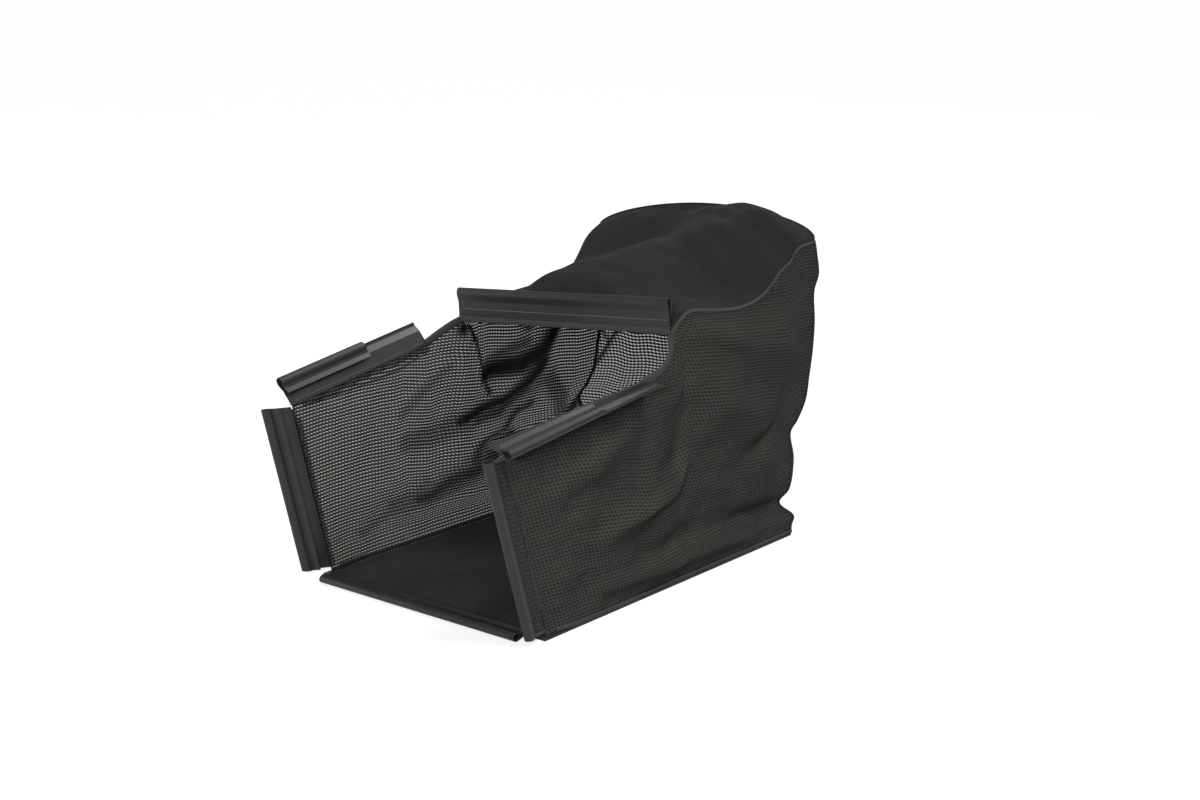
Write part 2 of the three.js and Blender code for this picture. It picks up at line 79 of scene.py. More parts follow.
# %% Smooth line through points
def smooth_line(points):
    points = np.asarray(points, float)
    first = 2 * points[0] - points[1]
    last = 2 * points[-1] - points[-2]
    chain = np.vstack([first, points, last])
    gaps = np.sqrt(np.linalg.norm(np.diff(chain, axis=0), axis=1))

    def at(t):
        t = np.asarray(t, float)
        place_on = np.clip(t, 0, 1) * (len(points) - 1)
        k = np.clip(place_on.astype(int), 0, len(points) - 2)
        w = (place_on - k)[..., None]
        p0, p1, p2, p3 = chain[k], chain[k + 1], chain[k + 2], chain[k + 3]
        d0, d1, d2 = gaps[k][..., None], gaps[k + 1][..., None], gaps[k + 2][..., None]
        slope1 = ((p1 - p0) / d0 - (p2 - p0) / (d0 + d1) + (p2 - p1) / d1) * d1
        slope2 = ((p2 - p1) / d1 - (p3 - p1) / (d1 + d2) + (p3 - p2) / d2) * d1
        square, cube = w * w, w * w * w
        return (
            (2 * cube - 3 * square + 1) * p1
            + (cube - 2 * square + w) * slope1
            + (3 * square - 2 * cube) * p2
            + (cube - square) * slope2
        )

    return at


def evenly(line, steps=400):
    """The same line, with its parameter spread evenly along its length."""
    t = np.linspace(0, 1, steps)
    length = np.concatenate([[0], np.cumsum(np.linalg.norm(np.diff(line(t), axis=0), axis=1))])
    return lambda share: line(np.interp(np.asarray(share, float) * length[-1], length, t))


# %% [markdown]
# A panel between four seams is filled in with a Coons patch: two straight blends across it, one
# each way, less the part that both of them count. Its edges then lie exactly on the seams.

# %% Patch between four edges
def coons(bottom, top, start, end):
    def at(u, v):
        a, b = u[..., None], v[..., None]
        zero, one = np.zeros(1), np.ones(1)
        corners = (
            (1 - a) * (1 - b) * bottom(zero)[0]
            + a * (1 - b) * bottom(one)[0]
            + (1 - a) * b * top(zero)[0]
            + a * b * top(one)[0]
        )
        return (1 - b) * bottom(u) + b * top(u) + (1 - a) * start(v) + a * end(v) - corners

    return at


# %% [markdown]
# Slack cloth hangs in soft ridges and furrows that run from one held place to another. Each is a
# line on the panel, from one (u, v) to another, with a width and a height, and fades at its ends.

# %% Creases
def crease(u, v, start, end, width, height):
    start, end = np.array(start), np.array(end)
    run = end - start
    share = np.clip(((u - start[0]) * run[0] + (v - start[1]) * run[1]) / (run @ run), 0, 1)
    away = np.hypot(u - start[0] - share * run[0], v - start[1] - share * run[1]) / width
    return height * MM * np.exp(-away * away) * np.sin(math.pi * (0.15 + 0.7 * share))


def soft_step(t, edge):
    t = np.clip(t / edge, 0, 1)
    return t * t * (3 - 2 * t)


def edge_fade(u, v, edge=0.06):
    return soft_step(u, edge) * soft_step(1 - u, edge) * soft_step(v, edge) * soft_step(1 - v, edge)


def folds(u, v, creases):
    return edge_fade(u, v) * sum(crease(u, v, *line) for line in creases)


# %% [markdown]
# In a few places slack cloth falls into a narrow pleat and lies double. There it stands up sharply
# and no light comes through, so a pleat gives a height and also a mask that the material reads: there
# the holes close and, seen from inside, the cloth is painted near-black, a painted shade for the fold.
# A few wide, low lines are there only for that painted shade. A line is a path of (u, v) places, a
# width, a height, and how far the cloth lies double and is painted with shade. Along its seams each
# panel is turned in and lies double too, with the same painted shade.

# %% Pleats
PLEAT_ASPECT = 1.7
PLEATS_AND_SHADES = {
    "left_side": [
        ([(0.55, 0.99), (0.56, 0.955), (0.575, 0.86)], 0.034, 5, 1.0),
        ([(0.525, 0.95), (0.565, 0.975), (0.61, 0.99)], 0.058, 0, 1.0),
        ([(0.6, 0.85), (0.625, 0.75), (0.657, 0.63)], 0.026, 5, 0.85),
        (
            [(0.63, 0.70), (0.68, 0.705), (0.743, 0.695), (0.787, 0.72), (0.825, 0.80), (0.84, 0.9)],
            0.046, 9, 1.0,
        ),
        ([(0.64, 0.72), (0.70, 0.74), (0.76, 0.755)], 0.026, 5, 0.7),
        ([(0.37, 0.585), (0.45, 0.575), (0.52, 0.565)], 0.022, 3, 0.5),
        ([(0.50, 0.563), (0.60, 0.565), (0.695, 0.585), (0.75, 0.638), (0.785, 0.69)], 0.030, 8, 1.0),
        ([(0.60, 0.53), (0.69, 0.545), (0.745, 0.6)], 0.030, 4, 0.8),
        ([(0.355, 0.278), (0.455, 0.312), (0.552, 0.32), (0.672, 0.345), (0.74, 0.40)], 0.030, 6, 0.85),
        ([(0.56, 0.345), (0.64, 0.39), (0.713, 0.438), (0.738, 0.525), (0.763, 0.54)], 0.026, 6, 0.8),
        ([(0.315, 0.715), (0.36, 0.75), (0.427, 0.795), (0.47, 0.80)], 0.030, 3, 0.4),
        ([(0.14, 0.17), (0.305, 0.255), (0.395, 0.33)], 0.034, 3, 0.4),
        ([(0.72, 0.96), (0.75, 0.86), (0.765, 0.8)], 0.024, 4, 0.8),
        ([(0.63, 0.97), (0.68, 0.955), (0.73, 0.965)], 0.020, 3, 0.8),
        ([(0.893, 0.367), (0.97, 0.393), (0.988, 0.49), (1.0, 0.53)], 0.030, 6, 0.9),
        ([(0.33, 0.575), (0.52, 0.545), (0.70, 0.555), (0.77, 0.62)], 0.065, 3, 0.45),
        ([(0.28, 0.25), (0.46, 0.295), (0.60, 0.33), (0.72, 0.42)], 0.065, 3, 0.5),
        ([(0.80, 0.62), (0.86, 0.50), (0.90, 0.38)], 0.050, 4, 0.6),
        ([(0.06, 0.965), (0.20, 0.935), (0.34, 0.93), (0.43, 0.95)], 0.010, 1, 0.75),
    ],
    "rear": [
        ([(0.0, 0.53), (0.04, 0.57), (0.083, 0.623), (0.10, 0.66)], 0.020, 5, 0.9),
        ([(0.0, 0.65), (0.025, 0.62), (0.05, 0.595)], 0.014, 4, 0.7),
    ],
    "right_side": [],
    "roof": [],
}


def pleat_lines(u, v, pleats_and_shades):
    height, double_and_shade = np.zeros_like(u), np.zeros_like(u)
    for path, width, rise, doubling_and_shade in pleats_and_shades:
        for start, end in zip(path[:-1], path[1:]):
            run = np.subtract(end, start)
            share = np.clip(((u - start[0]) * run[0] + (v - start[1]) * run[1]) / (run @ run), 0, 1)
            away_u, away_v = u - start[0] - share * run[0], v - start[1] - share * run[1]
            away = np.hypot(away_u * PLEAT_ASPECT, away_v) / width
            height = np.maximum(height, rise * MM * np.exp(-away * away))
            # The same mask closes the holes and paints the fold's shade near-black: painted shade.
            double_and_shade = np.maximum(double_and_shade, doubling_and_shade * np.exp(-((away * 1.3) ** 4)))
    return height * edge_fade(u, v, 0.03), double_and_shade


def turned_in(u, v):
    """How far the cloth lies double along a panel's four edges; the same amount sets its painted shade
    there.
    """
    inside = np.minimum(np.minimum(u, 1 - u) * PLEAT_ASPECT, np.minimum(v, 1 - v))
    return 1 - soft_step(inside - 0.006, 0.008)


# %% [markdown]
# Cloth is never quite even between its folds, so small waves lie over the whole panel.

# %% Ripples
def ripple(u, v, across, along, height, seed):
    """Small uneven waves, the same each run."""
    phase = np.random.default_rng(seed).uniform(0, 2 * math.pi, 6)
    waves = (
        np.sin(across * u * 6.3 + phase[0] + 1.7 * np.sin(along * v * 6.3 + phase[1]))
        + 0.6 * np.sin(1.9 * across * u * 6.3 - along * v * 8.1 + phase[2])
        + 0.5 * np.sin(2.7 * along * v * 6.3 + 0.8 * across * u * 6.3 + phase[3])
    )
    return height * MM * waves * edge_fade(u, v, 0.1)


# %% [markdown]
# The clips decide where the cloth's front edges are. Their sewn edges are worked out from the same
# few numbers as the solids: where each clip stands, how it is turned, and how wide its flange is.

# %% Sewn edges of the clips
CLIP_WIDTH = 38.0
TUBE_HEIGHT = 15.0
STITCH_GAP = 0.1
POST_FOOT = {"left": 11.0, "right": 8.0}
POST_HEIGHT = 225.0
POST_FORWARD = 61.0
POST_TURN = {"left": 28.0, "right": 8.0}
POST_OFFSET = {"left": (9, 3), "right": (1, -5)}
RAILS = {
    "left": {"inset": (11.4, -6.0), "y": (-33.0, 224.0), "z": (238.0, 271.0), "lean": (33.0, 33.0)},
    "right": {"inset": (18.0, 3.0), "y": (-48.0, 212.0), "z": (248.0, 276.0), "lean": (105.0, 85.0)},
}
RAIL_STITCH = {"left": (STITCH_GAP, 0.0), "right": (-1.2, 1.5)}
TOP_CLIP = {"left": place(-173, 266, 344), "right": place(173, 276, 369)}
ROOF_START = (45.7, 2.1)


def blend(ends, t):
    return ends[0] + (ends[1] - ends[0]) * t


def post_line(name, beyond, outwards=0.0):
    side = SIDES[name]
    turn = math.radians(POST_TURN[name])
    reach = CLIP_WIDTH - TUBE_HEIGHT / 2 + beyond
    x_shift = side * (math.cos(turn) * outwards - math.sin(turn) * reach)
    y_shift = math.cos(turn) * reach + math.sin(turn) * outwards
    out = [side * (HALF_WIDTH_MM + offset) + x_shift for offset in POST_OFFSET[name]]
    foot = place(out[0], y_shift, POST_FOOT[name])
    head = place(out[1], y_shift - POST_FORWARD, POST_FOOT[name] + POST_HEIGHT)
    return foot, head


def rail_line(name, beyond, under):
    side, rail = SIDES[name], RAILS[name]
    out = [side * (HALF_WIDTH_MM - inset) for inset in rail["inset"]]
    ends = [place(*point) for point in zip(out, rail["y"], rail["z"])]
    along = (ends[1] - ends[0]) / np.linalg.norm(ends[1] - ends[0])
    upright = np.array([0, 0, 1]) - along * along[2]
    upright /= np.linalg.norm(upright)
    sideways = np.cross(along, upright)
    sideways *= side / np.linalg.norm(sideways)

    def at(t):
        t = np.asarray(t, float)[..., None]
        lean = np.radians(blend(rail["lean"], t))
        to_tube = upright * np.cos(lean) + sideways * np.sin(lean)
        outward = -side * np.cross(to_tube, np.broadcast_to(along, to_tube.shape))
        return blend(ends, t) - to_tube * beyond * MM + outward * under * MM

    return at


top_along = TOP_CLIP["right"] - TOP_CLIP["left"]
top_along = top_along / np.linalg.norm(top_along)
top_down = np.array([0, 0, -1.0]) + top_along * top_along[2]
top_down /= np.linalg.norm(top_down)
top_front = np.cross(top_down, top_along)
top_front *= -np.sign(top_front[1]) / np.linalg.norm(top_front)


def on_top_clip(t, below, before):
    t = np.asarray(t, float)[..., None]
    line = TOP_CLIP["left"] + (TOP_CLIP["right"] - TOP_CLIP["left"]) * t
    return line + top_down * below * MM + top_front * before * MM


print("top clip runs", np.round(top_along, 3), "and its flange hangs", np.round(top_down, 3))

# %% [markdown]
# Two long seams run on each side: the roof's, from the top clip over the bag's shoulder to its rear
# corner, and the rear one, from there down to the floor, with the tuck above the floor's corner.

# %% Seams
TOP_SEAM = {
    "left": [
        (0, 0), (0.05, 0.1), (0.11, 0.17), (0.3, 0.2),
        (0.6, 0.26), (0.79, 0.42), (0.915, 0.87), (1, 1),
    ],
    "right": [
        (0, 0), (0.04, 0.15), (0.1, 0.3), (0.27, 0.25), (0.43, 0.2), (0.57, 0.27),
        (0.66, 0.42), (0.73, 0.62), (0.81, 0.76), (0.86, 0.93), (1, 1),
    ],
}
REAR_SEAM = [
    (0, 0), (0.026, 1), (0.055, 6), (0.12, -22), (0.16, -8), (0.265, 1), (0.36, -8), (0.395, 8),
    (0.457, 27), (0.544, 35), (0.62, 41), (0.72, 44), (0.83, 41), (0.885, 51), (0.95, 46), (1, 40),
]


def rear_corner(name):
    back = BAG_DEPTH + REAR_LEAN - FLOOR_MIDDLE
    return np.array([SIDES[name] * (HALF_WIDTH + MM), back, REAR_HEIGHT[name]])


def top_seam(name):
    start = on_top_clip([0.0 if name == "left" else 1.0], ROOF_START[0], -ROOF_START[1])[0]
    end = rear_corner(name)
    points = []
    for along, rise in TOP_SEAM[name]:
        out = min(1, along * 4)
        shares = (out, along, rise)
        points.append([blend((start[k], end[k]), shares[k]) for k in range(3)])
    return smooth_line(points)


def rear_seam(name):
    points = []
    for rise, back in REAR_SEAM:
        tuck = 6 if rise == 0.12 else 0
        x = SIDES[name] * (HALF_WIDTH + (rise - tuck) * MM)
        z = blend((PANEL_FOOT, REAR_HEIGHT[name]), rise)
        points.append([x, BAG_DEPTH + back * MM - FLOOR_MIDDLE, z])
    return smooth_line(points)


seams = {name: {"top": top_seam(name), "rear": rear_seam(name)} for name in SIDES}

# %% [markdown]
# Each side panel starts on the post, follows the rail, rounds the bound corner of the mouth and
# goes on under the roof's seam. Its foot stands on the vinyl.

# %% Side panel surface
RAIL_END = 0.44
CORNER = 0.52
CORNER_BOW = {"left": (6, 6), "right": (40, -26)}
SIDE_FOLDS = {
    "left": [
        ((0.33, 0.7), (0.5, 0.77), 0.05, -6),
        ((0.14, 0.17), (0.39, 0.34), 0.05, 9),
        ((0.35, 0.28), (0.69, 0.32), 0.045, -10),
        ((0.4, 0.59), (0.72, 0.56), 0.05, 10),
        ((0.7, 0.55), (0.81, 0.69), 0.05, -10),
        ((0.62, 0.7), (0.83, 0.72), 0.045, 12),
        ((0.88, 0.36), (0.96, 0.52), 0.045, -8),
    ],
    "right": [
        ((0.12, 0.675), (0.34, 0.81), 0.06, 13),
        ((0.25, 0.38), (0.49, 0.52), 0.06, 15),
        ((0.475, 0.76), (0.48, 0.52), 0.03, -10),
        ((0.38, 0.27), (0.7, 0.25), 0.045, -8),
        ((0.22, 0.16), (0.74, 0.14), 0.05, 11),
        ((0.61, 0.74), (0.78, 0.54), 0.06, 15),
        ((0.73, 0.49), (0.9, 0.48), 0.045, -8),
        ((0.69, 0.275), (0.95, 0.2), 0.04, -11),
        ((0.6, 0.92), (0.94, 0.66), 0.05, 12),
        ((0.8, 0.36), (0.94, 0.38), 0.05, 8),
    ],
}


def side_surface(name):
    side = SIDES[name]
    rail = rail_line(name, *RAIL_STITCH[name])
    seam = seams[name]
    drop = np.array([0, 0, -SEAM_GAP])
    corner_end = seam["top"](np.zeros(1))[0] + drop
    corner_start = rail(np.ones(1))[0]
    bow = corner_start + (corner_end - corner_start) * 0.6 + np.array([0, *CORNER_BOW[name]]) * MM

    def corner(t):
        t = np.asarray(t, float)[..., None]
        return (1 - t) ** 2 * corner_start + 2 * t * (1 - t) * bow + t**2 * corner_end

    def top(u):
        u = np.asarray(u, float)
        on_rail = rail(np.clip(u / RAIL_END, 0, 1))
        on_corner = corner(np.clip((u - RAIL_END) / (CORNER - RAIL_END), 0, 1))
        on_seam = seam["top"](np.clip((u - CORNER) / (1 - CORNER), 0, 1)) + drop
        behind = np.where(u[..., None] <= CORNER, on_corner, on_seam)
        return np.where(u[..., None] <= RAIL_END, on_rail, behind)

    foot, head = post_line(name, STITCH_GAP)
    run = head - foot
    low = foot + run * (PANEL_FOOT / MM - POST_FOOT[name]) / POST_HEIGHT
    high = top(np.zeros(1))[0]
    turn_share = 1.0 if name == "left" else 0.945
    turn = high if name == "left" else head + run * 0.012

    def start(v):
        v = np.asarray(v, float)[..., None]
        lower = low + (turn - low) * v / turn_share
        upper = turn + (high - turn) * (v - turn_share) / max(1 - turn_share, 1e-6)
        return np.where(v <= turn_share, lower, upper)

    def end(v):
        v = np.asarray(v, float)
        return seam["rear"](v) + np.stack([0 * v, 0 * v + 0.2 * MM, v * drop[2]], axis=-1)

    sole = evenly(smooth_line([
        low,
        [side * (HALF_WIDTH - 4 * MM), place(0, 45, 0)[1], PANEL_FOOT],
        [side * HALF_WIDTH, place(0, 75, 0)[1], PANEL_FOOT],
        [side * HALF_WIDTH, BAG_DEPTH / 2 - FLOOR_MIDDLE, PANEL_FOOT],
        end(np.zeros(1))[0],
    ]))
    patch = coons(sole, top, start, end)

    def at(u, v):
        out = SIDE_BILLOW * np.sin(math.pi * u) * np.sin(math.pi * v)
        out = out + folds(u, v, SIDE_FOLDS[name]) + ripple(u, v, 5, 2, 0.8, 3)
        out = out - pleat_lines(u, v, PLEATS_AND_SHADES[f"{name}_side"])[0]
        surface = patch(u, v)
        surface[..., 0] += side * out
        return surface

    return at, corner


# %% [markdown]
# The rear panel stands between the side panels, and the roof lies over all three. Their shared edge
# arches over the back of the bag.

# %% Rear and roof surfaces
REAR_FOLDS = [
    ((0.2, 0.9), (0.35, 0.2), 0.08, 10),
    ((0.45, 0.15), (0.6, 0.75), 0.08, -11),
    ((0.75, 0.85), (0.7, 0.25), 0.08, 11),
]
ROOF_FOLDS = [
    ((0.33, 0.07), (0.77, 0.84), 0.2, 47),
    ((0.12, 0.35), (0.42, 0.92), 0.1, -18),
    ((0.6, 0.53), (0.87, 0.46), 0.06, -9),
    ((0.9, 0.42), (0.98, 0.75), 0.06, -6),
]


CLIP_CLEAR = 0.14


def rear_arch(u):
    u = np.asarray(u, float)
    line = blend((rear_corner("left"), rear_corner("right")), u[..., None])
    arch = np.sqrt(np.abs(np.sin(math.pi * np.clip(u, 0, 1))))
    return line + np.stack([0 * arch, REAR_BULGE * arch, CROWN_RISE * arch], axis=-1)


def rear_edge(name):
    def at(v):
        v = np.asarray(v, float)
        inset = -SIDES[name] * 0.1 * MM
        return seams[name]["rear"](v) + np.stack([0 * v + inset, 0 * v, -SEAM_GAP * v], axis=-1)

    return at


def rear_top(u):
    u = np.asarray(u, float)
    inwards = (1 - 2 * u) * 0.1 * MM
    return rear_arch(u) + np.stack([inwards, 0 * u, 0 * u - SEAM_GAP], axis=-1)


def rear_foot(u):
    ends = rear_edge("left")(np.zeros(1))[0], rear_edge("right")(np.zeros(1))[0]
    return blend(ends, np.asarray(u, float)[..., None])


rear_patch = coons(rear_foot, rear_top, rear_edge("left"), rear_edge("right"))


def rear_surface(u, v):
    surface = rear_patch(u, v)
    surface[..., 1] += REAR_BULGE * np.sin(math.pi * u) * np.sin(math.pi * v)
    surface[..., 1] += folds(u, v, REAR_FOLDS) + ripple(u, v, 4, 3, 1.0, 8)
    surface[..., 1] -= pleat_lines(u, v, PLEATS_AND_SHADES["rear"])[0]
    return surface


def roof_front(u):
    return on_top_clip(u, ROOF_START[0], -ROOF_START[1])


roof_patch = coons(roof_front, rear_arch, seams["left"]["top"], seams["right"]["top"])


def roof_surface(u, v):
    surface = roof_patch(u, v)
    surface[..., 2] += ROOF_CROWN * np.sin(math.pi * u) * np.sin(math.pi * v)
    surface[..., 2] += soft_step(v, CLIP_CLEAR) * (folds(u, v, ROOF_FOLDS) + ripple(u, v, 4, 3, 1.0, 5))
    return surface


# %% [markdown]
# A sheet of cloth is one layer of faces with a UV map in metres, so that the knit keeps its size
# wherever the panel is stretched. The map is measured along the rows and up the columns.

# %% Cloth sheets
def grid_sheet(name, surface, us, vs, pleats_and_shades, turned=False):
    u, v = np.meshgrid(us, vs)
    points = surface(u, v)
    rows, columns = u.shape
    across = np.zeros_like(u)
    across[:, 1:] = np.cumsum(np.linalg.norm(np.diff(points, axis=1), axis=2), axis=1)
    upward = np.zeros_like(u)
    upward[1:] = np.cumsum(np.linalg.norm(np.diff(points, axis=0), axis=2), axis=0)
    faces = []
    for i in range(rows - 1):
        for j in range(columns - 1):
            a = i * columns + j
            quad = (a, a + 1, a + columns + 1, a + columns)
            faces.append(quad[::-1] if turned else quad)
    mesh = bpy.data.meshes.new(name)
    mesh.from_pydata(points.reshape(-1, 3).tolist(), [], faces)
    uv = mesh.uv_layers.new(name="UVMap")
    for loop in mesh.loops:
        i, j = divmod(loop.vertex_index, columns)
        uv.data[loop.index].uv = (across[i, j], upward[i, j])
    # Per point: how far the cloth lies double and is painted with shade.
    double_and_shade = mesh.attributes.new("double_and_shade", "FLOAT", "POINT")
    mask = np.maximum(pleat_lines(u, v, pleats_and_shades)[1], turned_in(u, v))
    double_and_shade.data.foreach_set("value", mask.ravel())
    mesh.shade_smooth()
    piece = bpy.data.objects.new(name, mesh)
    bpy.context.scene.collection.objects.link(piece)
    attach(piece, "root")
    size = float(across[:, -1].mean()), float(upward[-1].mean())
    print(name, "faces", len(faces), "cloth about", [round(x, 3) for x in size], "m")
    return piece, size


COLUMNS = 170
ROWS = 110
panels = {}
corners = {}
side_surfaces = {}
for name in SIDES:
    surface, corner = side_surface(name)
    side_surfaces[name] = surface
    corners[name] = corner
    us, vs = np.linspace(0, 1, COLUMNS + 1), np.linspace(0, 1, ROWS + 1)
    pleats_and_shades = PLEATS_AND_SHADES[f"{name}_side"]
    piece, size = grid_sheet(f"{name}_side_cloth", surface, us, vs, pleats_and_shades, turned=name == "left")
    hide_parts(f"{name}_side_panel")
    panels[f"{name}_side"] = piece

even = np.linspace(0, 1, 151)
rear_cloth, size = grid_sheet("rear_cloth", rear_surface, even, even, PLEATS_AND_SHADES["rear"], turned=True)
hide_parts("rear_panel")
panels["rear"] = rear_cloth

roof_cloth, size = grid_sheet("roof_cloth", roof_surface, even, even, PLEATS_AND_SHADES["roof"])
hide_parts("roof_panel")
panels["roof"] = roof_cloth

# %% [markdown]
# Tapes and hems are narrow strips of cloth that follow a panel at a small distance. Where a tape's
# cut edge shows, a Solidify modifier gives it its thickness. Tapes folded over a seam stay a single
# layer of faces. So do the hems: they are the mesh itself, turned in, and look the panel's way.

# %% Strips of tape
def strip(name, points, thickness, turned=False):
    rows, columns, _ = points.shape
    faces = [
        (i * columns + j, i * columns + j + 1, (i + 1) * columns + j + 1, (i + 1) * columns + j)
        for i in range(rows - 1)
        for j in range(columns - 1)
    ]
    if turned:
        faces = [face[::-1] for face in faces]
    mesh = bpy.data.meshes.new(name)
    mesh.from_pydata(points.reshape(-1, 3).tolist(), [], faces)
    along = np.linalg.norm(np.diff(points[0], axis=0), axis=1)
    along = np.concatenate([[0], np.cumsum(along)])
    width = np.linalg.norm(np.diff(points[:, columns // 2], axis=0), axis=1)
    width = np.concatenate([[0], np.cumsum(width)])
    uv = mesh.uv_layers.new(name="UVMap")
    for loop in mesh.loops:
        i, j = divmod(loop.vertex_index, columns)
        uv.data[loop.index].uv = (along[j], width[i])
    mesh.shade_smooth()
    piece = bpy.data.objects.new(name, mesh)
    bpy.context.scene.collection.objects.link(piece)
    if thickness:
        bpy.ops.object.select_all(action="DESELECT")
        piece.select_set(True)
        bpy.context.view_layer.objects.active = piece
        solid = piece.modifiers.new("thickness", "SOLIDIFY")
        solid.thickness = thickness
        solid.offset = 0
        bpy.ops.object.modifier_apply(modifier=solid.name)
    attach(piece, "root")
    return piece


def lifted(surface, us, vs, side, distance):
    """Points of a panel's surface, moved off it along its own normals."""
    u, v = np.meshgrid(us, vs)
    step = 1e-3
    points = surface(u, v)
    along = surface(np.clip(u + step, 0, 1), v) - surface(np.clip(u - step, 0, 1), v)
    upward = surface(u, np.clip(v + step, 0, 1)) - surface(u, np.clip(v - step, 0, 1))
    normal = np.cross(along, upward) * side
    normal /= np.linalg.norm(normal, axis=-1, keepdims=True)
    return points + normal * distance


TAPE_OUT = 1.6 * MM
TAPE_THICKNESS = 1.4 * MM
tapes = []
for name, side in SIDES.items():
    surface = side_surfaces[name]
    hem_out, hem_in = 9 * MM, -1.6 * MM
    post_hem = lifted(surface, np.linspace(0, 0.0155, 4), np.linspace(0.04, 0.92, 60), side, hem_in)
    piece = strip(f"{name}_post_hem_cloth", np.swapaxes(post_hem, 0, 1), 0, turned=name == "right")
    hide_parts(f"{name}_post_hem")
    tapes.append(piece)

    height = RAILS[name]["z"][0] * MM
    up_hem = np.linspace(1 - hem_out / height, 1, 4)
    rail_hem = lifted(surface, np.linspace(0.03, RAIL_END, 90), up_hem, side, hem_in)
    piece = strip(f"{name}_rail_hem_cloth", rail_hem, 0, turned=name == "left")
    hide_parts(f"{name}_rail_hem")
    tapes.append(piece)

    up_band = np.linspace(0, 0.7 * hem_out / height, 4)
    band = lifted(surface, np.linspace(0.035, 1, 150), up_band, side, TAPE_OUT)
    piece = strip(f"{name}_floor_tape", band, TAPE_THICKNESS)
    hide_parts(f"{name}_floor_band")
    tapes.append(piece)

    reaches = [reach - CLIP_WIDTH for reach in (17.0, 25.0, 33.0, 41.5)]
    lines = [post_line(name, reach, 1.3) for reach in reaches]
    cover = np.array([[blend(line, t) for t in np.linspace(0.02, 0.985, 50)] for line in lines])
    piece = strip(f"{name}_post_cover", cover, 0, turned=name == "right")
    tapes.append(piece)

    t = np.linspace(0, 1, 40)
    line = corners[name](t)
    tangent = np.gradient(line, axis=0)
    beyond = np.stack([0 * t, -tangent[:, 2], tangent[:, 1]], axis=1)
    beyond /= np.linalg.norm(beyond, axis=1, keepdims=True)
    rows = [line + beyond * reach * MM for reach in (-3.0, 0.5, 4.0, 7.2)]
    piece = strip(f"{name}_corner_tape", np.array(rows), 2.4 * MM)
    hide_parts(f"{name}_corner_binding")
    tapes.append(piece)


def seam_tape(name, line, offsets):
    """A narrow tape folded over the seam between two panels; offsets are in millimetres."""
    points = np.array([line + np.array(offset) * MM for offset in offsets])
    tapes.append(strip(name, points, 0))


t = np.linspace(0, 1, 160)
for name, side in SIDES.items():
    over_shoulder = [(-2.2 * side, 0, 0.9), (0.9 * side, 0, 0.8), (1.1 * side, 0, -2.4)]
    seam_tape(f"{name}_top_seam", seams[name]["top"](t), over_shoulder)
    round_back = [(-2.2 * side, 0.9, 0), (0.9 * side, 0.9, 0), (1.1 * side, -2.4, 0)]
    seam_tape(f"{name}_rear_seam", seams[name]["rear"](t), round_back)
seam_tape("arch_seam", rear_arch(t), [(0, -2.4, 0.9), (0, 0.8, 0.8), (0, 1.2, -2.4)])

up_band = np.linspace(0.004, 0.024, 4)
rear_band = lifted(rear_surface, np.linspace(0.01, 0.99, 90), up_band, -1, TAPE_OUT)
piece = strip("rear_floor_tape", rear_band, TAPE_THICKNESS)
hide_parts("rear_floor_band")
tapes.append(piece)

shares = np.linspace(0, 1, 120)
top_tape = np.array([on_top_clip(shares, below, 0.4) for below in (38.2, 40.5, 43.0, 45.8)])
piece = strip("top_hem_tape", top_tape, 1.8 * MM)
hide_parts("top_clip_tape")
tapes.append(piece)
print("tapes:", [piece.name for piece in tapes])

# %% [markdown]

# %% [markdown]
# Knitted mesh is rows of loops round small flat holes, each row shifted a little against the last.
# The group below draws one hole per cell of the UV map and gives back how open the cloth is and how
# high the yarn stands, so that every panel can use it with its own sizes.

# %% Knit node group
KNIT_COLUMN = 0.0058
KNIT_ROW = 0.00465
HOLE_SLANT = 0.22
HOLE_HALF_WIDTH = 0.43
HOLE_SHARPNESS = 3.0
YARN_ARC = 2.2


def new_group(name, inputs, outputs):
    group = bpy.data.node_groups.new(name, "ShaderNodeTree")
    for socket_name, kind, value in inputs:
        socket = group.interface.new_socket(name=socket_name, in_out="INPUT", socket_type=kind)
        if value is not None:
            socket.default_value = value
    for socket_name, kind in outputs:
        group.interface.new_socket(name=socket_name, in_out="OUTPUT", socket_type=kind)
    return group


def math_node(tree, operation, first, second=None, third=None, clamp=False):
    node = tree.nodes.new("ShaderNodeMath")
    node.operation = operation
    node.use_clamp = clamp
    for socket, value in zip(node.inputs, (first, second, third)):
        if value is None:
            continue
        if isinstance(value, (int, float)):
            socket.default_value = value
        else:
            tree.links.new(value, socket)
    return node.outputs[0]


knit = new_group(
    "Knitted mesh",
    [
        ("Vector", "NodeSocketVector", None),
        ("Column", "NodeSocketFloat", KNIT_COLUMN),
        ("Row", "NodeSocketFloat", KNIT_ROW),
        ("Shift", "NodeSocketFloat", 0.1),
        ("Hole", "NodeSocketFloat", 1.0),
        ("Flatness", "NodeSocketFloat", 0.3),
    ],
    [("Hole", "NodeSocketFloat"), ("Height", "NodeSocketFloat")],
)
group_in = knit.nodes.new("NodeGroupInput")
group_out = knit.nodes.new("NodeGroupOutput")
split = knit.nodes.new("ShaderNodeSeparateXYZ")
knit.links.new(group_in.outputs["Vector"], split.inputs[0])
row_place = math_node(knit, "DIVIDE", split.outputs["Y"], group_in.outputs["Row"])
row_number = math_node(knit, "FLOOR", row_place)
column_place = math_node(knit, "DIVIDE", split.outputs["X"], group_in.outputs["Column"])
column_place = math_node(knit, "MULTIPLY_ADD", row_number, group_in.outputs["Shift"], column_place)
in_column = math_node(knit, "SUBTRACT", math_node(knit, "FRACT", column_place), 0.5)
in_row = math_node(knit, "SUBTRACT", math_node(knit, "FRACT", row_place), 0.5)
in_row = math_node(knit, "MULTIPLY_ADD", in_column, HOLE_SLANT, in_row)
across_hole = math_node(knit, "DIVIDE", in_column, HOLE_HALF_WIDTH)
